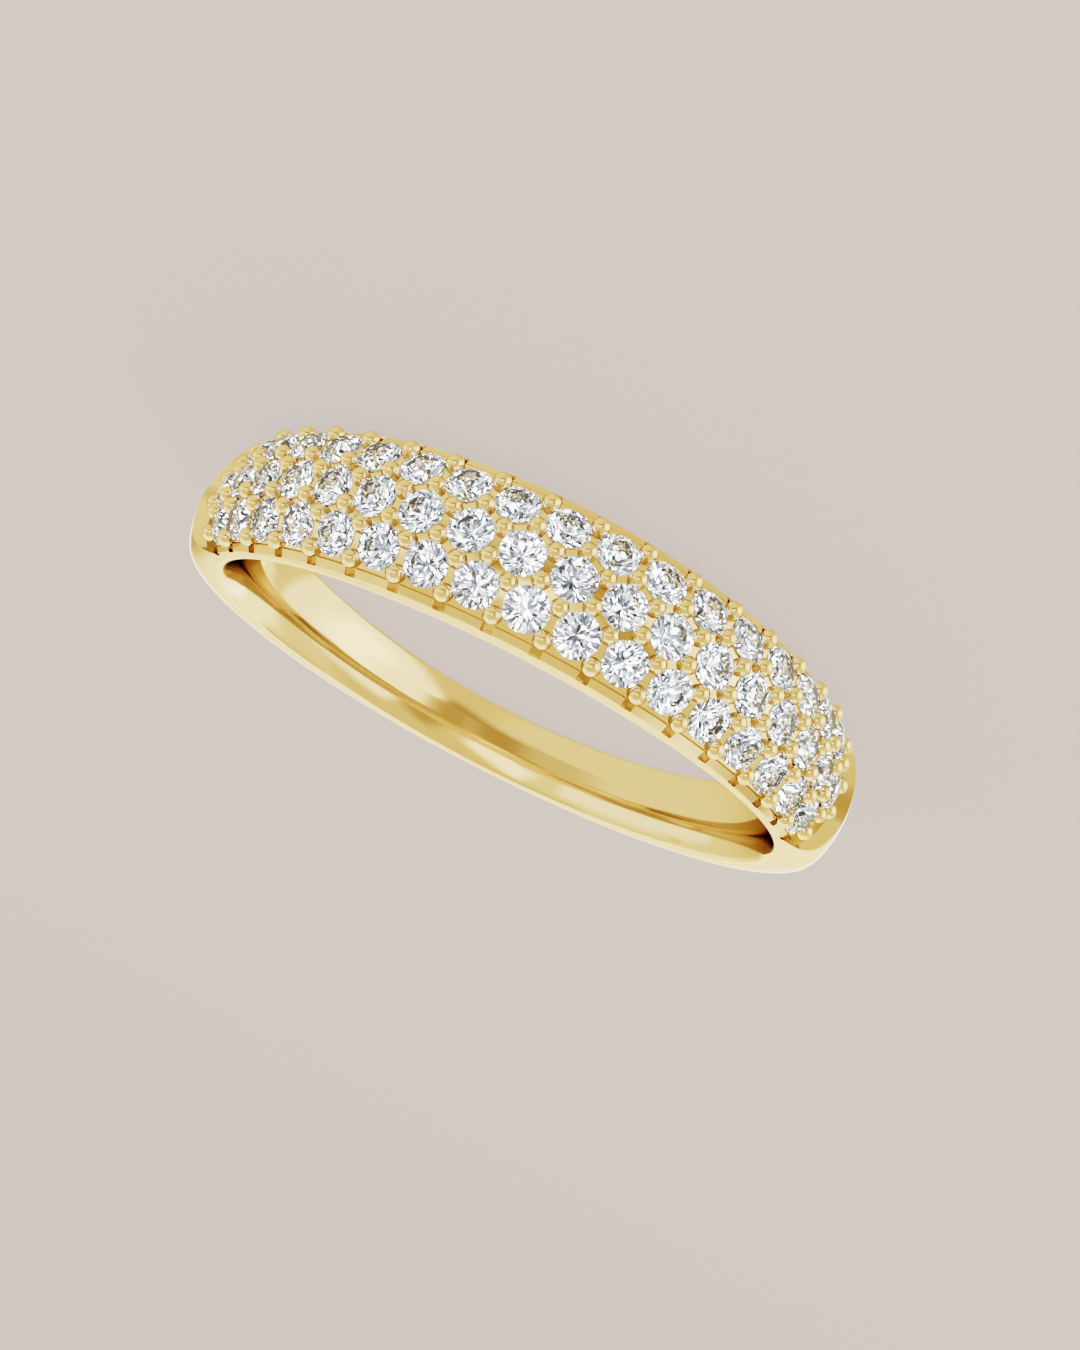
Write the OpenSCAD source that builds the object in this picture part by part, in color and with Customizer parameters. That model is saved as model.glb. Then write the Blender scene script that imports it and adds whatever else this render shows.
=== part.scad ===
// Pave diamond band: a tapering gold ring lying on its side, its bore along Z and its stones toward -Y.
// The origin is the middle of the bore.

/* [Ring size] */
// Diameter of the bore
bore_d = 17.3; // [15:0.1:20]
// Length of the straight part of the bore
bore_straight = 0.4; // [0.2:0.1:0.8]
// Radius of the comfort curve at each end of the bore
comfort_r = 3.3; // [3:0.1:3.6]

/* [Band] */
// Thickness at the middle of the stones
front_t = 2.24; // [2.1:0.01:2.3]
// Thickness at the back of the finger
back_t = 1.56; // [1.5:0.01:1.7]
// Width at the middle of the stones
front_w = 4.2; // [4.1:0.01:4.3]
// Width at the back of the finger
back_w = 2.2; // [2.15:0.05:2.5]
// Radius of the crowned outside, across the band
crown_r = 3.2; // [3.1:0.1:3.4]
// Radius between the outside and each side face
outer_round = 1.1; // [1:0.05:1.15]

/* [Stones] */
// Diameter of each stone
stone_d = 1.2; // [1.1:0.01:1.22]
// Stones in each side row, an odd number
side_stones = 17; // [13:2:17]
// Angle between neighbours in a row
pitch = 8.02; // [8:0.01:8.3]
// Distance between rows, over the crown of the field
row_step = 1.19; // [1.18:0.01:1.22]
// Height of the middle row's girdles above the bore at the middle of the field
girdle_h = 2; // [1.95:0.01:2.05]
// How far the field's centre is off the bore's centre, which lowers the field towards its ends
field_off = 0.6; // [0.5:0.05:0.7]
// Radius of the field across the band, at the girdles
field_r = 3.39; // [3.3:0.01:3.6]
// Clearance between a stone and its seat
seat_gap = 0.02; // [0.01:0.005:0.03]

/* [Field] */
// How far the floor lies below the girdles
floor_drop = 0.05; // [0.03:0.01:0.08]
// Angle of the centre of each rounded end of the field
end_angle = 65.4; // [64:0.1:66]
// Radius of each rounded end of the field
end_r = 1.78; // [1.7:0.01:1.8]

/* [Beads] */
// Diameter of each bead
bead_d = 0.43; // [0.4:0.01:0.46]
// Height of a bead's centre above the girdles
bead_lift = 0.03; // [0:0.01:0.06]
// Distance from a side row to its outer beads
outer_bead_step = 0.48; // [0.48:0.01:0.5]
// The same for the last outer bead at each end, which stands further round the ring
end_bead_step = 0.18; // [0.15:0.01:0.22]

/* [Rails] */
// Width of the bevelled rail at the middle of the field
rail_w = 0.26; // [0.2:0.01:0.3]
// Drop of the bevelled rail towards the bore
rail_drop = 0.45; // [0.35:0.01:0.5]
// Width and length of the square notch beside each outer bead
notch_w = 0.34; // [0.25:0.01:0.38]
// Depth of that notch
notch_depth = 0.15; // [0.1:0.01:0.2]

/* [Hidden] */
$fn = 96;
bead_fn = 24;
bore_r = bore_d / 2;
outer_r = (bore_d + front_t + back_t) / 2;
outer_off = (front_t - back_t) / 2;
// Each side face is a plane that leans in towards the back of the ring.
side_z = (front_w + back_w) / 4;
side_tilt = atan((front_w - back_w) / 2 / (bore_d + front_t));
// The comfort curve meets the bore at this angle and reaches this share of its radius past it.
comfort_start = 4;
comfort_reach = 0.9;
// The cut side's rounded corner reaches this far past the crown, and its wall leans out by this angle.
corner_past = 0.07;
wall_lean = 20;
// How far a cutting shape reaches past what it cuts.
spare = 3;
half_cut = 0.6 * front_w;
// The field's own radii, about the field's centre.
girdle_r = bore_r + girdle_h - field_off;
dome_c = girdle_r - field_r;
floor_dome = field_r - floor_drop;
step_angle = row_step / field_r * 180 / PI;
bead_angle = outer_bead_step / field_r * 180 / PI;
end_bead_angle = end_bead_step / field_r * 180 / PI;
// The rails lean half as much as the side faces, so they narrow towards the ends of the field.
rail_tilt = side_tilt / 2;
rail_z = front_w / 2 - (girdle_r + field_off) * tan(rail_tilt);
rail_in_z = front_w / 2 - rail_w;
rail_in_r = dome_c + sqrt(floor_dome * floor_dome - rail_in_z * rail_in_z);
// A round brilliant: heights are measured from the middle of the girdle.
stone_r = stone_d / 2;
girdle_half = 0.02 * stone_d;
table_h = 0.16 * stone_d;
culet_h = -0.43 * stone_d;
table_r = 0.56 * stone_r;
star_r = 0.78 * stone_r;
lower_r = 0.28 * stone_r;
half_side = (side_stones - 1) / 2;
side_places = [-half_side : half_side];
middle_places = [-half_side - 0.5 : half_side + 0.5];
end_places = [-half_side - 1 : half_side + 1];
outer_places = [-half_side + 0.5 : half_side - 0.5];
end_bead_along = half_side + 0.6;

// Stands a shape built upwards from the origin on the field: along is its angle round the ring in pitches,
// across its angle over the crown, up its height above the girdles.
module on_field(along, across, up) {
    translate([0, -field_off, 0])
        rotate([0, 0, along * pitch])
            translate([0, -dome_c, 0])
                rotate([90 - across, 0, 0])
                    translate([0, 0, field_r + up])
                        children();
}

// The same move for one point of a stone.
function place(p, along, across) =
    let (
        r = field_r + p[2],
        y = -dome_c - r * cos(across) - p[1] * sin(across),
        z = r * sin(across) - p[1] * cos(across),
        a = along * pitch
    )
    [p[0] * cos(a) - y * sin(a), p[0] * sin(a) + y * cos(a) - field_off, z];

// The plain ring before its sides are cut: a crowned outside about a centre just off the bore's.
module crowned_ring() {
    translate([0, -outer_off, 0])
        rotate_extrude()
            intersection() {
                translate([outer_r - crown_r, 0]) circle(crown_r);
                translate([0, -half_cut]) square([outer_r + spare, 2 * half_cut]);
            }
}

// Everything below one side face, with its rounded outer corner. Its wall leans out, clear of the crown.
module below_side() {
    depth = 2 * front_w;
    corner_c = outer_r + corner_past - outer_round;
    wall_r = corner_c + outer_round * cos(wall_lean);
    wall_z = outer_round * (sin(wall_lean) - 1);
    translate([0, -outer_off, side_z + outer_off * tan(side_tilt)])
        rotate([-side_tilt, 0, 0])
            rotate_extrude() {
                polygon([
                    [0, -depth],
                    [wall_r + (depth + wall_z) * tan(wall_lean), -depth],
                    [wall_r, wall_z],
                    [corner_c, -outer_round],
                    [corner_c, 0],
                    [0, 0]
                ]);
                translate([corner_c, -outer_round]) circle(outer_round);
            }
}

// The mouth of the bore: the comfort curve, wider towards the side face.
module bore_mouth() {
    curve_r = bore_r + comfort_r * cos(comfort_start);
    curve_z = bore_straight / 2 - comfort_r * sin(comfort_start);
    rotate_extrude()
        difference() {
            translate([0, curve_z]) square([curve_r, comfort_reach * comfort_r]);
            translate([curve_r, curve_z]) circle(comfort_r);
        }
}

// What the field takes off above its floor.
module above_floor() {
    translate([0, -field_off, 0])
        rotate_extrude()
            difference() {
                translate([dome_c, -half_cut]) square([field_r + spare, 2 * half_cut]);
                translate([dome_c, 0]) circle(floor_dome);
            }
}

// What one bevelled rail takes off.
module above_rail() {
    translate([0, -field_off, rail_z + field_off * tan(rail_tilt)])
        rotate([-rail_tilt, 0, 0])
            rotate_extrude()
                polygon([
                    [rail_in_r - 3 * rail_drop, 2 * rail_w],
                    [rail_in_r + rail_drop, -2 * rail_w],
                    [girdle_r + spare, -2 * rail_w],
                    [girdle_r + spare, 2 * rail_w]
                ]);
}

// The plan of the field: a stretch of the ring with a rounded end on each side.
module field_plan() {
    reach = girdle_r + 2 * spare;
    translate([0, -field_off, -front_w])
        linear_extrude(2 * front_w)
            polygon(concat([[0, 0]], [for (i = [-2 : 2])
                [reach * sin(i * end_angle / 2), -reach * cos(i * end_angle / 2)]]));
    for (side = [-1, 1])
        translate([0, -field_off, 0])
            rotate([0, 0, side * end_angle])
                rotate([90, 0, 0])
                    translate([0, 0, dome_c]) cylinder(r = end_r, h = field_r + spare);
}

// Height of the middle of the rail at an angle from the middle of the field.
function rail_middle_z(angle) = rail_z + (girdle_r * cos(angle) + field_off) * tan(rail_tilt) - rail_w / 2;

// A square notch in the rail beside each outer bead.
module notches() {
    slope = atan(rail_drop / rail_w);
    for (along = middle_places)
        translate([0, -field_off, 0])
            rotate([0, 0, along * pitch])
                translate([0, -rail_in_r + rail_drop / 2, rail_middle_z(along * pitch)])
                    rotate([90 - slope, 0, 0])
                        cube([notch_w, notch_w, 2 * notch_depth], center = true);
}

// One bead, sunk into the floor.
module bead(along, across) {
    on_field(along, across, bead_lift) sphere(d = bead_d, $fn = bead_fn);
}

// The beads of one side: in every gap between three stones, and along the rail.
module beads() {
    for (along = end_places) bead(along, step_angle / 3);
    for (along = middle_places) bead(along, step_angle * 2 / 3);
    for (along = outer_places) bead(along, step_angle + bead_angle);
    for (side = [-1, 1]) bead(side * end_bead_along, step_angle + end_bead_angle);
}

// The room that one stone and its clearance take, on its own axis.
module seat() {
    rotate_extrude()
        polygon([
            [0, culet_h - 1.5 * seat_gap],
            [stone_r + seat_gap, -girdle_half],
            [stone_r + seat_gap, girdle_half],
            [table_r + seat_gap, table_h + seat_gap],
            [0, table_h + seat_gap]
        ]);
}

module seats() {
    for (along = middle_places) on_field(along, 0, 0) seat();
    for (along = side_places, side = [-1, 1]) on_field(along, side * step_angle, 0) seat();
}

// The gold: one cast piece with its field, rails and beads.
module band() {
    color([0.87, 0.76, 0.47])
        difference() {
            union() {
                difference() {
                    intersection() {
                        crowned_ring();
                        below_side();
                        mirror([0, 0, 1]) below_side();
                    }
                    cylinder(r = bore_r, h = 2 * front_w, center = true);
                    bore_mouth();
                    mirror([0, 0, 1]) bore_mouth();
                    intersection() {
                        field_plan();
                        union() {
                            above_floor();
                            above_rail();
                            mirror([0, 0, 1]) above_rail();
                        }
                    }
                    notches();
                    mirror([0, 0, 1]) notches();
                }
                beads();
                mirror([0, 0, 1]) beads();
            }
            seats();
        }
}

// Points of one brilliant: table, stars, girdle top and bottom, lower halves, culet.
function ring_points(r, z, count, turn) = [for (i = [0 : count - 1])
    let (a = turn + i * 360 / count) [r * cos(a), r * sin(a), z]];
function line_z(x, x0, z0, x1, z1) = z0 + (z1 - z0) * (x - x0) / (x1 - x0);
star_h = line_z(star_r * cos(22.5), table_r, table_h, stone_r, girdle_half);
lower_h = line_z(lower_r * cos(22.5), 0, culet_h, stone_r, -girdle_half);
brilliant_points = concat(
    ring_points(table_r, table_h, 8, 0),
    ring_points(star_r, star_h, 8, 22.5),
    ring_points(stone_r, girdle_half, 16, 0),
    ring_points(stone_r, -girdle_half, 16, 0),
    ring_points(lower_r, lower_h, 8, 22.5),
    [[0, 0, culet_h]]
);
STAR = 8;
TOP = 16;
LOW = 32;
HALF = 48;
CULET = 56;
brilliant_faces = concat(
    [[for (i = [7 : -1 : 0]) i]],
    [for (i = [0 : 7]) [i, (i + 1) % 8, STAR + i]],
    [for (i = [0 : 7]) [i, STAR + i, TOP + 2 * i, STAR + (i + 7) % 8]],
    [for (i = [0 : 7]) [STAR + i, TOP + 2 * i + 1, TOP + 2 * i]],
    [for (i = [0 : 7]) [STAR + i, TOP + (2 * i + 2) % 16, TOP + 2 * i + 1]],
    [for (i = [0 : 15]) [TOP + i, TOP + (i + 1) % 16, LOW + (i + 1) % 16, LOW + i]],
    [for (i = [0 : 7]) [HALF + i, LOW + 2 * i, LOW + 2 * i + 1]],
    [for (i = [0 : 7]) [HALF + i, LOW + 2 * i + 1, LOW + (2 * i + 2) % 16]],
    [for (i = [0 : 7]) [CULET, HALF + (i + 7) % 8, LOW + 2 * i, HALF + i]]
);
stone_places = concat(
    [for (along = middle_places) [along, 0]],
    [for (along = side_places, side = [-1, 1]) [along, side * step_angle]]
);

// The field of stones: loose brilliants, each clear of its seat and of the others.
module stones() {
    color([0.93, 0.94, 0.96])
        polyhedron(
            points = [for (s = stone_places, p = brilliant_points) place(p, s[0], s[1])],
            faces = [for (i = [0 : len(stone_places) - 1], f = brilliant_faces)
                [for (v = f) v + i * len(brilliant_points)]]
        );
}

band();
stones();
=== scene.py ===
import math
import random

import bmesh
import bpy
import numpy as np
from mathutils import Matrix, Vector


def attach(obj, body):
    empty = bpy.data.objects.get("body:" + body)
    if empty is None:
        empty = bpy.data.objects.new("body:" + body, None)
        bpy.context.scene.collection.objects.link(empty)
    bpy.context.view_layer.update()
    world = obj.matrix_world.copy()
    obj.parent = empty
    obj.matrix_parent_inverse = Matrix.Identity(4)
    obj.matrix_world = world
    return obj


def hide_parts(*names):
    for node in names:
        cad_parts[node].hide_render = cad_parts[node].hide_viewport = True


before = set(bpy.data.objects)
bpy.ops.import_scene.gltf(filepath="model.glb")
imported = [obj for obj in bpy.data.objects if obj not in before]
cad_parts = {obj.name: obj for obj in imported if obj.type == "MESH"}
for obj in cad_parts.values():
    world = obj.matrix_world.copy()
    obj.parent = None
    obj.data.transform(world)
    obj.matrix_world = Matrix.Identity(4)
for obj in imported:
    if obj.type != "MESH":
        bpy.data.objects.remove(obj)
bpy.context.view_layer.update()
scene = bpy.context.scene

# Sizes of the part in millimetres, the same as in its construction, with angles in radians
MM = 0.001
bore_d = 17.3
bore_straight = 0.4
comfort_r = 3.3
comfort_start = math.radians(4)
front_t = 2.24
back_t = 1.56
front_w = 4.2
back_w = 2.2
crown_r = 3.2
outer_round = 1.1
corner_past = 0.07
wall_lean = math.radians(20)
stone_d = 1.2
side_stones = 17
pitch = math.radians(8.02)
row_step = 1.19
girdle_h = 2.0
field_off = 0.6
field_r = 3.39
seat_gap = 0.02
end_angle = math.radians(65.4)
end_r = 1.78
outer_bead_step = 0.48
end_bead_step = 0.18
rail_w = 0.26
notch_depth = 0.15
spare = 3.0

# Sizes of the finer relief, which the construction has plainer or not at all
# How far the field's floor lies below the middle of the girdles: negative, since it lies a little above
floor_drop = -0.01
# The field's end walls lean out this far for each unit of height, and keep at least this share of end_r
end_lean = 0.8
narrowest_end = 0.1
bead_d = 0.5
bead_lift = 0.06
# Each rail: its whole drop, the width and drop of the bevel that comes first, and the groove inside it
rail_drop = 0.4
rail_bevel = 0.19
bevel_drop = 0.125
rail_groove = 0.04
# Each notch: its width and length, then how far down the rail and in from the band's side its middle is,
# as shares of the rail's drop and width
notch_w = 0.32
notch_h = 0.24
notch_down = 0.25
notch_in = 0.85
# The seats reach this far into the girdles, so that no gap shows round the stones
seat_grip = 0.005
# How widely the plain band's edges are rounded off
edge_soft = 0.14

# Sizes that follow from those
bore_r = bore_d / 2
outer_r = (bore_d + front_t + back_t) / 2
outer_off = (front_t - back_t) / 2
side_z = (front_w + back_w) / 4
side_tilt = math.atan((front_w - back_w) / 2 / (bore_d + front_t))
half_cut = 0.6 * front_w
girdle_r = bore_r + girdle_h - field_off
dome_c = girdle_r - field_r
floor_dome = field_r - floor_drop
step_angle = row_step / field_r
bead_angle = outer_bead_step / field_r
end_bead_angle = end_bead_step / field_r
rail_tilt = side_tilt / 2
rail_z = front_w / 2 - (girdle_r + field_off) * math.tan(rail_tilt)
rail_in_z = front_w / 2 - rail_w
rail_in_r = dome_c + math.sqrt(floor_dome**2 - rail_in_z**2)
half_side = (side_stones - 1) // 2
side_places = np.arange(-half_side, half_side + 1)
middle_places = np.arange(-half_side - 0.5, half_side + 1)
end_places = np.arange(-half_side - 1, half_side + 2)
outer_places = middle_places[1:-1]
end_bead_along = half_side + 0.6

# A round brilliant, with heights from the middle of its girdle, and the largest lean of one, in radians
stone_r = stone_d / 2
girdle_half = 0.018 * stone_d
table_h = 0.16 * stone_d
culet_depth = 0.59
table_r = 0.56 * stone_r
star_r = 0.78 * stone_r
lower_r = 0.24 * stone_r
seat_girdle_half = 0.02 * stone_d
stone_lean = 0.02

# Fineness of the meshes
ring_steps = 480
section_steps = 84
section_samples = 720
cut_steps = 480
arc_steps = 40
round_steps = 40
bead_columns = 24
bead_rows = 12
# Each radian of bend counts as this length when a section's points are spread round it
bend_weight = 0.35
# Each section is drawn about a middle at this share of the thickness, with its rays halved this often
section_middle = 0.42
halvings = 30
# A face lies on a surface within this distance, and follows it if the cosine between them is above this
on_surface = 0.006
normals_agree = 0.9
# Gradients are taken over this length to both sides
gradient_step = 0.002

# The photo's camera, fitted to the ring's outline and its stones' centres, in radians and millimetres
camera_azimuth = -0.0382
camera_elevation = 0.2665
camera_roll = 2.6655
camera_distance = 52.8452
camera_shift = (-0.6179, -0.3638)
focal_px = 1756.9457
photo_height_px = 1350
sensor_mm = 36.0

# The backdrop's linear colour, which the chosen view shows as the photo's warm pale grey (210, 203, 197)
backdrop_colour = (0.618, 0.545, 0.508)
# The share of the backdrop that is lit cloth, while the rest glows
cloth_share = 0.2

# The floor: a flat disc, then a rim bent upwards, in millimetres
floor_r = 170.0
floor_bend_r = 110.0
floor_bend = math.radians(75)
floor_rings = 14
floor_steps = 96

# Polished gold: the colours between which it drifts, each with its place on the ramp, and the edge's tint
gold_tones = [(0.3, (0.85, 0.68, 0.46, 1)), (0.7, (0.88, 0.71, 0.49, 1))]
gold_edge_tint = (0.6, 0.5, 0.36, 1)

# The studio's light: a warm even light with soft-edged panels over it, each laid over those before it
pale = (1.0, 0.9, 0.66)
warm = (1.0, 0.83, 0.51)
deep = (1.0, 0.79, 0.44)
amber = (1.0, 0.7, 0.31)
white = (1.0, 0.98, 0.86)
even_light = 0.97
# The share of the light that is left after two reflections, and the one light seen after three or more
repeated_light = 0.65
deep_light = (1.05, 1.15, 1.2)
# Directions behind a panel count as this far ahead of it, which puts them outside its edges
least_depth = 0.001
# Each panel: azimuth and elevation in the camera's frame, where 0, 0 is towards the camera and 90, 0 to
# its right, then width and height, all in degrees, softness of its edges, brightness and colour
light_panels = [
    (100, 52, 110, 44, 0.3, 0.8, deep),
    (5, -28, 120, 62, 0.3, 0.79, deep),
    (-150, -50, 130, 84, 0.3, 1.45, pale),
    (160, -62, 60, 50, 0.3, 1.6, pale),
    (0, -90, 60, 60, 0.3, 1.5, pale),
    (178, -14, 48, 46, 0.1, 2.3, white),
    (98, -55, 38, 15, 0.12, 0.72, deep),
    (-20, 39, 150, 13, 0.1, 0.7, deep),
    (-76, 22, 80, 18, 0.08, 1.25, pale),
    (84, 0, 86, 60, 0.12, 1.4, pale),
    (82, 0, 32, 34, 0.2, 1.95, pale),
    (-6, 8, 30, 17, 0.08, 1.5, pale),
    (12, 27, 53, 15, 0.1, 0.45, amber),
    (29, 4, 17, 36, 0.1, 0.5, amber),
]

# What the stones gather: the share of the cells that comes before each tone, and the tone
sparkle_cells = 32.0
sparkle_tones = [
    (0.0, (0.0, 0.0, 0.01)),
    (0.14, (0.1, 0.12, 0.15)),
    (0.35, (0.36, 0.41, 0.48)),
    (0.6, (0.98, 1.02, 1.06)),
    (0.78, (6.0, 6.1, 6.2)),
]


def new_object(name, points, faces):
    """A mesh object from points and faces, in whatever unit the points have, with its faces outwards."""
    mesh = bpy.data.meshes.new(name)
    mesh.from_pydata([tuple(p) for p in points], [], [tuple(f) for f in faces])
    work = bmesh.new()
    work.from_mesh(mesh)
    bmesh.ops.recalc_face_normals(work, faces=work.faces)
    work.to_mesh(mesh)
    work.free()
    obj = bpy.data.objects.new(name, mesh)
    scene.collection.objects.link(obj)
    return obj


def grid_faces(rows, columns):
    """Quads over a grid of points that closes on itself in both directions."""
    faces = []
    for i in range(rows):
        for j in range(columns):
            here = i * columns
            ahead = (i + 1) % rows * columns
            beside = (j + 1) % columns
            faces.append((here + j, ahead + j, ahead + beside, here + beside))
    return faces


def turn_about_x(points, angle):
    """Points turned about the X axis."""
    c, s = math.cos(angle), math.sin(angle)
    x, y, z = points[..., 0], points[..., 1], points[..., 2]
    return np.stack([x, y * c - z * s, y * s + z * c], -1)


def revolved(name, profile, steps):
    """A closed ring-shaped solid: the profile's (radius, height) points turned about the Z axis."""
    profile = np.array(profile, float)
    angles = np.linspace(0, 2 * math.pi, steps, endpoint=False)
    x = np.outer(np.sin(angles), profile[:, 0])
    y = -np.outer(np.cos(angles), profile[:, 0])
    z = np.broadcast_to(profile[:, 1], x.shape)
    points = np.stack([x, y, z], -1).reshape(-1, 3)
    return new_object(name, points, grid_faces(steps, len(profile)))


def read_values(items, name):
    """One whole number for every item of a mesh."""
    values = np.zeros(len(items), int)
    items.foreach_get(name, values)
    return values


def read_vectors(items, name):
    """One vector for every item of a mesh."""
    values = np.zeros(len(items) * 3)
    items.foreach_get(name, values)
    return values.reshape(-1, 3)


def move_points(obj, function):
    """Replaces an object's points by a function of them."""
    mesh = obj.data
    points = read_vectors(mesh.vertices, "co")
    mesh.vertices.foreach_set("co", function(points).ravel())
    mesh.update()


def mirrored(obj, name):
    """A copy of a solid on the other side of the ring's middle plane."""
    copy = bpy.data.objects.new(name, obj.data.copy())
    scene.collection.objects.link(copy)
    copy.data.transform(Matrix.Diagonal((1, 1, -1, 1)))
    copy.data.flip_normals()
    return copy


def combine(target, tool, operation):
    """Cuts, joins or intersects one closed solid with another, and deletes the other."""
    modifier = target.modifiers.new("combine", "BOOLEAN")
    modifier.operation = operation
    modifier.solver = "MANIFOLD"
    modifier.object = tool
    graph = bpy.context.evaluated_depsgraph_get()
    result = bpy.data.meshes.new_from_object(target.evaluated_get(graph))
    target.modifiers.clear()
    old = target.data
    target.data = result
    bpy.data.meshes.remove(old)
    bpy.data.objects.remove(tool)
    return target


def on_field(points, along, across):
    """Stands points built upwards from the origin on the domed field of stones."""
    points = np.asarray(points, float)
    r = field_r + points[..., 2]
    y = -dome_c - r * np.cos(across) - points[..., 1] * np.sin(across)
    z = r * np.sin(across) - points[..., 1] * np.cos(across)
    a = along * pitch
    return np.stack(
        [
            points[..., 0] * np.cos(a) - y * np.sin(a),
            points[..., 0] * np.sin(a) + y * np.cos(a) - field_off,
            z,
        ],
        -1,
    )


def circle_points(radius, height, count, turn=0.0):
    """Points round a circle, level with the girdles."""
    angles = turn + np.arange(count) * 2 * math.pi / count
    return [(radius * math.cos(a), radius * math.sin(a), height) for a in angles]


def soft_max(a, b, width):
    """The larger of two distances, with the corner between them rounded off inwards."""
    h = np.maximum(width - np.abs(a - b), 0) / width
    return np.maximum(a, b) + h * h * width / 4


# The plain band, as a distance function: negative inside the gold


def crown_distance(x, y, z):
    """Distance from the domed outside."""
    ring = np.hypot(x, y + outer_off) - (outer_r - crown_r)
    return np.hypot(ring, z) - crown_r


def side_distance(x, y, z):
    """Distance from the side faces and their rounded outer corners."""
    corner_c = outer_r + corner_past - outer_round
    shifted = np.stack([x, y + outer_off, np.abs(z) - side_z - outer_off * math.tan(side_tilt)], -1)
    local = turn_about_x(shifted, side_tilt)
    u = np.hypot(local[..., 0], local[..., 1]) - corner_c
    v = local[..., 2] + outer_round
    bearing = np.arctan2(v, u)
    wall = u * math.cos(wall_lean) + v * math.sin(wall_lean)
    rounded = (bearing >= wall_lean) & (bearing <= math.pi / 2)
    return np.where(rounded, np.hypot(u, v), np.maximum(v, wall)) - outer_round


def bore_distance(x, y, z):
    """Distance from the bore and the comfort curve at its two mouths."""
    r = np.hypot(x, y)
    curve_r = bore_r + comfort_r * math.cos(comfort_start)
    curve_z = bore_straight / 2 - comfort_r * math.sin(comfort_start)
    height = np.abs(z)
    in_mouth = (height > curve_z) & (r < curve_r)
    mouth = np.where(in_mouth, np.hypot(r - curve_r, height - curve_z) - comfort_r, -spare)
    return np.maximum(bore_r - r, mouth)


def band_distance(points):
    """Distance from the whole plain band, with its edges rounded off."""
    x, y, z = points[..., 0], points[..., 1], points[..., 2]
    outside = soft_max(crown_distance(x, y, z), side_distance(x, y, z), edge_soft)
    return soft_max(outside, bore_distance(x, y, z), edge_soft)


def plain_band():
    """The band before its field is cut: a section for every angle, finer where it bends."""
    angles = np.linspace(-math.pi, math.pi, ring_steps, endpoint=False)
    turns = np.linspace(0, 2 * math.pi, section_samples, endpoint=False)
    angle, turn = np.meshgrid(angles, turns, indexing="ij")
    out = np.stack([np.sin(angle), -np.cos(angle), np.zeros_like(angle)], -1)
    outer = outer_off * np.cos(angle) + np.sqrt(outer_r**2 - (outer_off * np.sin(angle)) ** 2)
    middle = out * (bore_r + section_middle * (outer - bore_r))[..., None]
    ray = out * np.cos(turn)[..., None]
    ray[..., 2] += np.sin(turn)
    low = np.zeros_like(angle)
    high = np.full_like(angle, spare)
    for _ in range(halvings):
        half = (low + high) / 2
        inside = band_distance(middle + ray * half[..., None]) < 0
        low = np.where(inside, half, low)
        high = np.where(inside, high, half)
    dense = middle + ray * low[..., None]
    points = np.array([even_section(section) for section in dense])
    return new_object("band", points.reshape(-1, 3), grid_faces(ring_steps, section_steps))


def even_section(section):
    """Fewer points round one section, closer together where it bends."""
    ahead = np.roll(section, -1, axis=0) - section
    length = np.linalg.norm(ahead, axis=1)
    way = ahead / length[:, None]
    bend = np.linalg.norm(np.roll(way, -1, axis=0) - way, axis=1)
    bend = (bend + np.roll(bend, 1)) / 2
    weight = np.concatenate([[0], np.cumsum(length + bend_weight * bend)])
    wanted = np.linspace(0, weight[-1], section_steps, endpoint=False)
    closed = np.vstack([section, section[:1]])
    return np.stack([np.interp(wanted, weight, closed[:, i]) for i in range(3)], -1)


def field_cutter():
    """Everything that the sunken field takes off: above its domed floor and above its rails."""
    reach = math.asin(half_cut / floor_dome)
    arc = np.linspace(-reach, reach, arc_steps)
    profile = [(dome_c + floor_dome * math.cos(t), floor_dome * math.sin(t)) for t in arc]
    profile += [(girdle_r + spare, half_cut), (girdle_r + spare, -half_cut)]
    cutter = revolved("above_floor", profile, cut_steps)
    rail_profile = [
        (rail_in_r - rail_drop - 2 * (rail_drop - bevel_drop), 2 * (rail_w - rail_bevel)),
        (rail_in_r - bevel_drop, rail_bevel - rail_w),
        (rail_in_r, -rail_w),
        (rail_in_r - rail_groove, -rail_w - rail_groove / 2),
        (rail_in_r + rail_groove, -rail_w - rail_groove),
        (rail_in_r + 2 * rail_bevel, -2 * rail_bevel - rail_w),
        (girdle_r + spare, -2 * rail_bevel - rail_w),
        (girdle_r + spare, 2 * (rail_w - rail_bevel)),
    ]
    rail = revolved("above_rail", rail_profile, cut_steps)
    lift = rail_z + field_off * math.tan(rail_tilt)
    move_points(rail, lambda p: turn_about_x(p, -rail_tilt) + [0, 0, lift])
    other_rail = mirrored(rail, "above_other_rail")
    combine(cutter, rail, "UNION")
    combine(cutter, other_rail, "UNION")
    combine(cutter, field_plan(), "INTERSECT")
    move_points(cutter, lambda p: p - [0, field_off, 0])
    return cutter


def prism(name, outline, low, high):
    """A closed solid with the same outline at two heights."""
    count = len(outline)
    points = [(x, y, low) for x, y in outline] + [(x, y, high) for x, y in outline]
    faces = [tuple(range(count - 1, -1, -1)), tuple(range(count, 2 * count))]
    faces += [(i, (i + 1) % count, count + (i + 1) % count, count + i) for i in range(count)]
    return new_object(name, points, faces)


def end_spread(radius):
    """How wide the field's leaning end wall is, as a share of its width at the top of the floor."""
    return np.maximum(1 + end_lean * (radius - dome_c - floor_dome) / end_r, narrowest_end)


def spread_end(points):
    """The points of an upright end wall, made to lean."""
    spread = end_spread(points[:, 2])
    return points * np.stack([spread, spread, np.ones(len(points))], -1)


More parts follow.
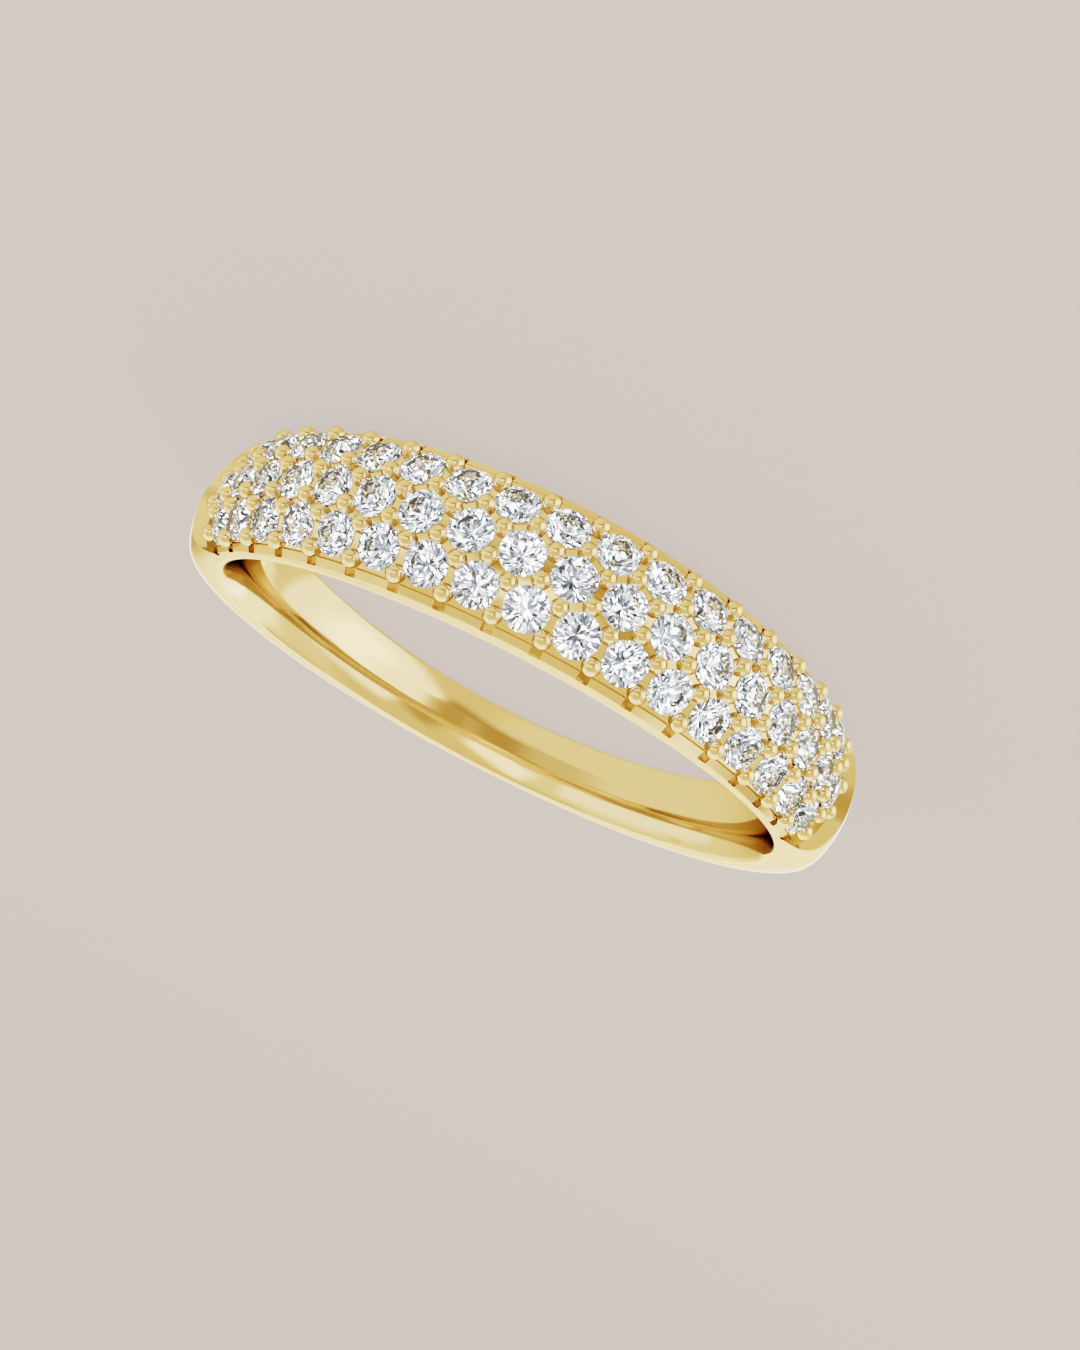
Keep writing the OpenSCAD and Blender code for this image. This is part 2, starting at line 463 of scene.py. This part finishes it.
def field_plan():
    """The plan of the field about its own centre: a stretch of the ring with two rounded ends."""
    reach = girdle_r + 2 * spare
    corners = [(0, 0)]
    for i in range(-2, 3):
        corners.append((reach * math.sin(i * end_angle / 2), -reach * math.cos(i * end_angle / 2)))
    plan = prism("plan", corners, -front_w, front_w)
    for side in (-1, 1):
        outline = [(x, y) for x, y, _ in circle_points(end_r, 0, 4 * round_steps)]
        end = prism("plan_end", outline, dome_c, girdle_r + spare)
        move_points(end, spread_end)
        move_points(end, lambda p: turn_about_x(p, math.pi / 2))
        end.data.transform(Matrix.Rotation(side * end_angle, 4, "Z"))
        combine(plan, end, "UNION")
    return plan


def notch_cutters():
    """A square recess in the rail beside each outer bead, all in one object."""
    slope = math.atan(rail_drop / rail_w)
    corners = np.array([(x, y, z) for z in (-1, 1) for y in (-1, 1) for x in (-1, 1)], float)
    box = corners * [notch_w / 2, notch_h / 2, notch_depth]
    sides = [(0, 2, 3, 1), (4, 5, 7, 6), (0, 1, 5, 4), (2, 6, 7, 3), (0, 4, 6, 2), (1, 3, 7, 5)]
    points, faces = [], []
    for along in middle_places:
        angle = along * pitch
        side_edge = rail_z + (girdle_r * math.cos(angle) + field_off) * math.tan(rail_tilt)
        middle = [0, -rail_in_r + notch_down * rail_drop, side_edge - notch_in * rail_w]
        local = turn_about_x(box, math.pi / 2 - slope) + middle
        c, s = math.cos(angle), math.sin(angle)
        x = local[:, 0] * c - local[:, 1] * s
        y = local[:, 0] * s + local[:, 1] * c - field_off
        faces += [tuple(v + len(points) for v in side) for side in sides]
        points += list(np.stack([x, y, local[:, 2]], -1))
    return new_object("notches", points, faces)


def bead_places():
    """(along, across) of every bead on one side of the middle plane."""
    places = [(along, step_angle / 3) for along in end_places]
    places += [(along, step_angle * 2 / 3) for along in middle_places]
    places += [(along, step_angle + bead_angle) for along in outer_places]
    places += [(side * end_bead_along, step_angle + end_bead_angle) for side in (-1, 1)]
    return places


def ball(radius, columns, rows):
    """Points and faces of a sphere."""
    points = [(0, 0, -radius)]
    for i in range(1, rows):
        tilt = -math.pi / 2 + i * math.pi / rows
        points += circle_points(radius * math.cos(tilt), radius * math.sin(tilt), columns)
    points.append((0, 0, radius))
    last = len(points) - 1
    faces = []
    for j in range(columns):
        k = (j + 1) % columns
        faces.append((0, 1 + k, 1 + j))
        for i in range(rows - 2):
            a = 1 + i * columns
            faces.append((a + j, a + k, a + columns + k, a + columns + j))
        top = last - columns
        faces.append((top + j, top + k, last))
    return np.array(points), faces


def all_beads():
    """The beads of both sides, in one object."""
    shape, shape_faces = ball(bead_d / 2, bead_columns, bead_rows)
    shape = shape + [0, 0, bead_lift]
    points, faces = [], []
    for side in (-1, 1):
        for along, across in bead_places():
            faces += [tuple(v + len(points) for v in face) for face in shape_faces]
            points += list(on_field(shape, along, side * across))
    return new_object("beads", points, faces)


def stone_places():
    """(along, across) of every stone: the middle row, then the two side rows."""
    places = [(along, 0.0) for along in middle_places]
    places += [(along, side * step_angle) for along in side_places for side in (-1, 1)]
    return places


def seat_cutters():
    """The room for each stone and its clearance, in one object."""
    seat_r = stone_r - seat_grip
    top_r = table_r + seat_gap
    top_h = table_h + seat_gap
    bottom_h = -culet_depth - 1.5 * seat_gap
    count = round_steps
    shape = [(0, 0, bottom_h)]
    shape += circle_points(seat_r, -seat_girdle_half, count)
    shape += circle_points(seat_r, seat_girdle_half, count)
    shape += circle_points(top_r, top_h, count)
    shape.append((0, 0, top_h))
    shape_faces = []
    for j in range(count):
        k = (j + 1) % count
        shape_faces.append((0, 1 + k, 1 + j))
        shape_faces.append((1 + j, 1 + k, 1 + count + k, 1 + count + j))
        shape_faces.append((1 + count + j, 1 + count + k, 1 + 2 * count + k, 1 + 2 * count + j))
        shape_faces.append((1 + 2 * count + j, 1 + 2 * count + k, 1 + 3 * count))
    points, faces = [], []
    for along, across in stone_places():
        faces += [tuple(v + len(points) for v in face) for face in shape_faces]
        points += list(on_field(shape, along, across))
    return new_object("seats", points, faces)


def gold_band():
    """The cast band with its field, rails, notches, beads and seats, in metres."""
    band = plain_band()
    combine(band, field_cutter(), "DIFFERENCE")
    notches = notch_cutters()
    other_notches = mirrored(notches, "other_notches")
    combine(band, notches, "DIFFERENCE")
    combine(band, other_notches, "DIFFERENCE")
    combine(band, all_beads(), "UNION")
    combine(band, seat_cutters(), "DIFFERENCE")
    band.name = "gold_band"
    band.data.name = "gold_band"
    band.data.shade_smooth()
    band.data.normals_split_custom_set(true_normals(band.data))
    band.data.transform(Matrix.Scale(MM, 4))
    return band


def floor_distance(points):
    """Distance above the field's domed floor."""
    ring = np.hypot(points[..., 0], points[..., 1] + field_off) - dome_c
    return np.hypot(ring, points[..., 2]) - floor_dome


def slope_distance(points, width, drop):
    """Distance above a slope that drops so much over that width, through where the rail's slopes meet."""
    lift = rail_z + field_off * math.tan(rail_tilt)
    shifted = np.stack([points[..., 0], points[..., 1] + field_off, np.abs(points[..., 2]) - lift], -1)
    local = turn_about_x(shifted, rail_tilt)
    r = np.hypot(local[..., 0], local[..., 1]) - rail_in_r + bevel_drop
    z = local[..., 2] - rail_bevel + rail_w
    return (r * width + z * drop) / math.hypot(width, drop)


def bevel_distance(points):
    """Distance above the rail's inner bevel."""
    return slope_distance(points, rail_bevel, bevel_drop)


def rim_distance(points):
    """Distance above the rail's steeper outer edge."""
    return slope_distance(points, rail_w - rail_bevel, rail_drop - bevel_drop)


def end_distance(points):
    """Distance inside the wall of the field's nearer rounded end."""
    side = np.where(points[..., 0] < 0, -1, 1)
    c, s = math.cos(end_angle), math.sin(end_angle) * side
    across = points[..., 0] * c + (points[..., 1] + field_off) * s
    radius = points[..., 0] * s - (points[..., 1] + field_off) * c
    inside = end_r * end_spread(radius) - np.hypot(across, points[..., 2])
    return inside / math.hypot(1, end_lean)


def bead_distance(points):
    """Distance outside the nearest bead."""
    places = bead_places()
    centres = [on_field([0, 0, bead_lift], a, side * b) for a, b in places for side in (-1, 1)]
    near = np.full(points.shape[:-1], spare)
    for centre in centres:
        near = np.minimum(near, np.linalg.norm(points - centre, axis=-1) - bead_d / 2)
    return near


def true_normals(mesh):
    """A normal for each face corner, from the surface that the face lies on, or else the face's own."""
    points = read_vectors(mesh.vertices, "co")[read_values(mesh.loops, "vertex_index")]
    counts = read_values(mesh.polygons, "loop_total")
    centres = read_vectors(mesh.polygons, "center")
    normals = np.repeat(read_vectors(mesh.polygons, "normal"), counts, axis=0)
    surfaces = [band_distance, bead_distance, floor_distance, bevel_distance, rim_distance, end_distance]
    offsets = np.array([np.abs(surface(centres)) for surface in surfaces])
    nearest = np.where(offsets.min(0) < on_surface, offsets.argmin(0), -1)
    owner = np.repeat(nearest, counts)
    for index, surface in enumerate(surfaces):
        chosen = owner == index
        slope = gradient(surface, points[chosen])
        same_way = (slope * normals[chosen]).sum(1)
        slope[same_way < 0] *= -1
        good = np.abs(same_way) > normals_agree
        normals[chosen] = np.where(good[:, None], slope, normals[chosen])
    return normals


def gradient(surface, points):
    """The direction in which a distance grows fastest."""
    parts = []
    for axis in range(3):
        shift = np.zeros(3)
        shift[axis] = gradient_step
        parts.append(surface(points + shift) - surface(points - shift))
    slope = np.stack(parts, -1)
    return slope / np.maximum(np.linalg.norm(slope, axis=1, keepdims=True), 1e-12)


# The stones: full-cut round brilliants


def brilliant():
    """The points of one stone, the faces of its crown, and the faces of its girdle and pavilion."""
    half_step = math.pi / 8
    star_share = (stone_r - star_r * math.cos(half_step)) / (stone_r - table_r)
    star_h = girdle_half + (table_h - girdle_half) * star_share
    lower_h = -culet_depth + (culet_depth - girdle_half) * lower_r * math.cos(half_step) / stone_r
    points = circle_points(table_r, table_h, 8)
    points += circle_points(star_r, star_h, 8, half_step)
    points += circle_points(stone_r, girdle_half, 16)
    points += circle_points(stone_r, -girdle_half, 16)
    points += circle_points(lower_r, lower_h, 8, half_step)
    points.append((0, 0, -culet_depth))
    # Where the points of each circle start, from the stars' down to the lower halves', and then the culet
    star, top, low, half, culet = 8, 16, 32, 48, 56
    crown = [tuple(range(8))]
    for i in range(8):
        after, before = (i + 1) % 8, (i + 7) % 8
        corner, middle, next_corner = top + 2 * i, top + 2 * i + 1, top + (2 * i + 2) % 16
        crown.append((i, star + i, after))
        crown.append((i, star + before, corner, star + i))
        crown.append((star + i, corner, middle))
        crown.append((star + i, middle, next_corner))
    girdle_faces = []
    for i in range(16):
        j = (i + 1) % 16
        girdle_faces.append((top + i, low + i, low + j, top + j))
    pavilion = []
    for i in range(8):
        before = (i + 7) % 8
        corner, middle, next_corner = low + 2 * i, low + 2 * i + 1, low + (2 * i + 2) % 16
        pavilion.append((half + i, middle, corner))
        pavilion.append((half + i, next_corner, middle))
        pavilion.append((culet, half + i, corner, half + before))
    return np.array(points), crown, girdle_faces + pavilion


def cut_stones():
    """All the stones in one object, each with its own turn, in metres."""
    chance = random.Random(52)
    shape, crown, pavilion = brilliant()
    points, faces, inner = [], [], []
    for along, across in stone_places():
        turn = Matrix.Rotation(chance.uniform(0, math.pi / 4), 3, "Z")
        lean_x = Matrix.Rotation(chance.uniform(-stone_lean, stone_lean), 3, "X")
        lean_y = Matrix.Rotation(chance.uniform(-stone_lean, stone_lean), 3, "Y")
        turned = np.array(turn @ lean_x @ lean_y)
        first = len(points)
        points += list(on_field(shape @ turned.T, along, across) * MM)
        for face in crown:
            faces.append(tuple(v + first for v in face))
            inner.append(0)
        for face in pavilion:
            faces.append(tuple(v + first for v in face))
            inner.append(1)
    stones = new_object("cut_stones", points, faces)
    stones.data.polygons.foreach_set("material_index", inner)
    return stones


# Materials


def plain_material(name, **sockets):
    """A material whose Principled shader has these constant values."""
    material = bpy.data.materials.new(name)
    material.use_nodes = True
    shader = material.node_tree.nodes["Principled BSDF"]
    for socket, value in sockets.items():
        shader.inputs[socket.replace("_", " ")].default_value = value
    return material, shader


def add_node(material, kind, **values):
    """A node with its values set: settings by name, then inputs by name."""
    node = material.node_tree.nodes.new(kind)
    for key, value in values.items():
        if hasattr(node, key):
            setattr(node, key, value)
        else:
            node.inputs[key.replace("_", " ")].default_value = value
    return node


def gold_material():
    """Polished yellow gold: faint colour drift, fine polishing haze and a touch of surface waviness."""
    material, shader = plain_material("polished_gold", Metallic=1.0, Specular_Tint=gold_edge_tint)
    links = material.node_tree.links
    place = add_node(material, "ShaderNodeTexCoord")
    drift = add_node(material, "ShaderNodeTexNoise", Scale=380.0, Detail=2.0)
    tone = add_node(material, "ShaderNodeValToRGB")
    for element, (position, colour) in zip(tone.color_ramp.elements, gold_tones):
        element.position = position
        element.color = colour
    haze = add_node(material, "ShaderNodeTexNoise", Scale=5200.0, Detail=4.0)
    rough = add_node(material, "ShaderNodeMapRange", To_Min=0.06, To_Max=0.1)
    wave = add_node(material, "ShaderNodeTexNoise", Scale=900.0, Detail=2.0)
    bump = add_node(material, "ShaderNodeBump", Strength=0.04, Distance=0.00002)
    links.new(place.outputs["Object"], drift.inputs["Vector"])
    links.new(place.outputs["Object"], haze.inputs["Vector"])
    links.new(place.outputs["Object"], wave.inputs["Vector"])
    links.new(drift.outputs["Fac"], tone.inputs["Fac"])
    links.new(tone.outputs["Color"], shader.inputs["Base Color"])
    links.new(haze.outputs["Fac"], rough.inputs["Value"])
    links.new(rough.outputs["Result"], shader.inputs["Roughness"])
    links.new(wave.outputs["Fac"], bump.inputs["Height"])
    links.new(bump.outputs["Normal"], shader.inputs["Normal"])
    return material


def crown_material():
    """The clear upper facets of a stone."""
    material, _ = plain_material(
        "diamond_crown", Base_Color=(1, 1, 1, 1), Roughness=0.0, IOR=1.75, Transmission_Weight=1.0
    )
    return material


def pavilion_material():
    """The girdle and lower facets: mirrors, which throw light back as cut stones do, with a faint painted
    glow that lifts light trapped inside the stone from black to a pale grey-blue.
    """
    material, _ = plain_material(
        "diamond_pavilion",
        Base_Color=(0.95, 0.96, 0.98, 1),
        Metallic=1.0,
        Roughness=0.02,
        # Painted glow: a faint emission that stands in for light reaching rays trapped inside the stone
        Emission_Color=(0.85, 0.92, 1, 1),
        Emission_Strength=0.02,
    )
    return material


# Floor, lights and camera


def backdrop_material():
    """A pale surface that mostly glows, and takes a little of the ring's shade."""
    material = bpy.data.materials.new("pale_backdrop")
    material.use_nodes = True
    nodes, links = material.node_tree.nodes, material.node_tree.links
    nodes.clear()
    colour = (*backdrop_colour, 1)
    glow = nodes.new("ShaderNodeEmission")
    glow.inputs["Color"].default_value = colour
    cloth = nodes.new("ShaderNodeBsdfDiffuse")
    cloth.inputs["Color"].default_value = colour
    mix = nodes.new("ShaderNodeMixShader")
    mix.inputs["Fac"].default_value = cloth_share
    output = nodes.new("ShaderNodeOutputMaterial")
    links.new(glow.outputs["Emission"], mix.inputs[1])
    links.new(cloth.outputs["BSDF"], mix.inputs[2])
    links.new(mix.outputs["Shader"], output.inputs["Surface"])
    return material


def floor_shape():
    """Points and faces of the floor: a flat disc whose rim bends upwards."""
    profile = [(floor_r, 0.0)]
    for i in range(1, floor_rings + 1):
        a = i / floor_rings * floor_bend
        profile.append((floor_r + floor_bend_r * math.sin(a), floor_bend_r * (1 - math.cos(a))))
    points = [(0.0, 0.0, 0.0)]
    for r, z in profile:
        points += circle_points(r, z, floor_steps)
    faces = [(0, 1 + j, 1 + (j + 1) % floor_steps) for j in range(floor_steps)]
    for i in range(floor_rings):
        inner = 1 + i * floor_steps
        outer = inner + floor_steps
        for j in range(floor_steps):
            k = (j + 1) % floor_steps
            faces.append((inner + j, outer + j, outer + k, inner + k))
    return np.array(points), faces


def studio_floor():
    """The floor: the ring lies on its lower side face, so the floor leans with that face."""
    points, faces = floor_shape()
    points = turn_about_x(points, side_tilt) + [0, 0, -side_z]
    floor = new_object("studio_floor", points * MM, faces)
    floor.data.shade_smooth()
    floor.data.materials.append(backdrop_material())
    floor.visible_glossy = False
    floor.visible_transmission = False
    floor.visible_shadow = False


def level_axes():
    """The camera's axes before its roll: right, up and back."""
    a, e = camera_azimuth, camera_elevation
    back = Vector((math.sin(a) * math.cos(e), -math.cos(a) * math.cos(e), math.sin(e)))
    right = Vector((math.cos(a), math.sin(a), 0))
    return right, back.cross(right), back


def studio_axes():
    """The camera's axes with its roll, which the light is set up in too."""
    right, up, back = level_axes()
    across = right * math.cos(camera_roll) - up * math.sin(camera_roll)
    upwards = right * math.sin(camera_roll) + up * math.cos(camera_roll)
    return across, upwards, back


def photo_camera():
    """The camera as fitted to the photo, rolled so that the ring stands across the picture as there."""
    right, up, _ = level_axes()
    across, upwards, back = studio_axes()
    place = (back * camera_distance + right * camera_shift[0] + up * camera_shift[1]) * MM
    camera = bpy.data.cameras.new("photo_camera")
    camera.sensor_width = sensor_mm
    camera.lens = focal_px / photo_height_px * sensor_mm
    camera.clip_start = 0.001
    camera.clip_end = 10.0
    obj = bpy.data.objects.new("photo_camera", camera)
    obj.matrix_world = Matrix.Translation(place) @ Matrix((across, upwards, back)).transposed().to_4x4()
    scene.collection.objects.link(obj)
    scene.camera = obj


def calculate(nodes, operation, *values):
    """The output of a math node: each value is a number or another node's output."""
    node = nodes.new("ShaderNodeMath")
    node.operation = operation
    for socket, value in zip(node.inputs, values):
        if isinstance(value, (int, float)):
            socket.default_value = value
        else:
            node.id_data.links.new(value, socket)
    return node.outputs[0]


def along_axis(nodes, way, axis):
    """How far each direction goes along an axis."""
    node = nodes.new("ShaderNodeVectorMath")
    node.operation = "DOT_PRODUCT"
    node.id_data.links.new(way, node.inputs[0])
    node.inputs[1].default_value = axis
    return node.outputs["Value"]


def soft_edge(nodes, value, edge, softness):
    """1 where a value is below the edge, 0 above it, with a soft step between."""
    node = nodes.new("ShaderNodeMapRange")
    node.interpolation_type = "SMOOTHSTEP"
    node.id_data.links.new(value, node.inputs["Value"])
    node.inputs["From Min"].default_value = edge - softness
    node.inputs["From Max"].default_value = edge + softness
    node.inputs["To Min"].default_value = 1.0
    node.inputs["To Max"].default_value = 0.0
    return node.outputs["Result"]


def light_panel(nodes, way, azimuth, elevation, width, height, softness):
    """1 in the directions where a rectangular panel stands, and 0 elsewhere."""
    across, upwards, back = studio_axes()
    a, e = math.radians(azimuth), math.radians(elevation)
    level = back * math.cos(a) + across * math.sin(a)
    centre = level * math.cos(e) + upwards * math.sin(e)
    top = upwards * math.cos(e) - level * math.sin(e)
    side = top.cross(centre)
    depth = calculate(nodes, "MAXIMUM", along_axis(nodes, way, centre), least_depth)
    u = calculate(nodes, "ABSOLUTE", calculate(nodes, "DIVIDE", along_axis(nodes, way, side), depth))
    v = calculate(nodes, "ABSOLUTE", calculate(nodes, "DIVIDE", along_axis(nodes, way, top), depth))
    wide = soft_edge(nodes, u, math.tan(math.radians(width / 2)), softness)
    high = soft_edge(nodes, v, math.tan(math.radians(height / 2)), softness)
    return calculate(nodes, "MULTIPLY", wide, high)


def laid_over(nodes, share, below, above):
    """One light laid over another by a share. The upper one is a colour or another node's output."""
    node = nodes.new("ShaderNodeMix")
    node.data_type = "RGBA"
    links = node.id_data.links
    links.new(share, node.inputs["Factor"])
    links.new(below, node.inputs["A"])
    if isinstance(above, tuple):
        node.inputs["B"].default_value = (*above, 1)
    else:
        links.new(above, node.inputs["B"])
    return node.outputs["Result"]


def panels_light(nodes, way):
    """The warm even light with each panel laid over it in turn."""
    light = nodes.new("ShaderNodeRGB").outputs[0]
    light.default_value = (*(even_light * c for c in warm), 1)
    for *place, brightness, colour in light_panels:
        share = light_panel(nodes, way, *place)
        light = laid_over(nodes, share, light, tuple(brightness * c for c in colour))
    return light


def reflected_light(nodes, light, reflections):
    """The light as it is seen after one reflection, dimmed after two, and even after three or more."""
    # The counts are whole, so each is compared with the number halfway below it
    two_or_more = calculate(nodes, "GREATER_THAN", reflections, 1.5)
    three_or_more = calculate(nodes, "GREATER_THAN", reflections, 2.5)
    share = calculate(nodes, "MULTIPLY_ADD", two_or_more, repeated_light - 1, 1.0)
    dimmer = nodes.new("ShaderNodeVectorMath")
    dimmer.operation = "SCALE"
    links = dimmer.id_data.links
    links.new(light, dimmer.inputs[0])
    links.new(share, dimmer.inputs["Scale"])
    return laid_over(nodes, three_or_more, dimmer.outputs["Vector"], deep_light)


def sparkle_light(nodes, way):
    """Fine light and dark cells."""
    cells = nodes.new("ShaderNodeTexVoronoi")
    cells.inputs["Scale"].default_value = sparkle_cells
    split = nodes.new("ShaderNodeSeparateColor")
    tone = nodes.new("ShaderNodeValToRGB")
    ramp = tone.color_ramp
    ramp.interpolation = "CONSTANT"
    while len(ramp.elements) < len(sparkle_tones):
        ramp.elements.new(0.5)
    for element, (position, colour) in zip(ramp.elements, sparkle_tones):
        element.position = position
        element.color = (*colour, 1)
    links = tone.id_data.links
    links.new(way, cells.inputs["Vector"])
    links.new(cells.outputs["Color"], split.inputs["Color"])
    links.new(split.outputs["Red"], tone.inputs["Fac"])
    return tone.outputs["Color"]


def studio_world():
    """Even studio light with soft panels, and in its place fine cells for what the stones gather."""
    world = bpy.data.worlds.new("studio")
    world.use_nodes = True
    nodes, links = world.node_tree.nodes, world.node_tree.links
    way = nodes.new("ShaderNodeTexCoord").outputs["Generated"]
    ray = nodes.new("ShaderNodeLightPath").outputs
    light = reflected_light(nodes, panels_light(nodes, way), ray["Glossy Depth"])
    light = laid_over(nodes, ray["Is Transmission Ray"], light, sparkle_light(nodes, way))
    links.new(light, nodes["Background"].inputs["Color"])
    scene.world = world


photo_camera()
studio_world()
studio_floor()
scene.view_settings.view_transform = "Filmic"
scene.view_settings.look = "Very High Contrast"

band = gold_band()
band.data.materials.clear()
band.data.materials.append(gold_material())
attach(band, "root")
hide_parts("band")

stones = cut_stones()
stones.data.materials.append(crown_material())
stones.data.materials.append(pavilion_material())
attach(stones, "root")
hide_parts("stones")
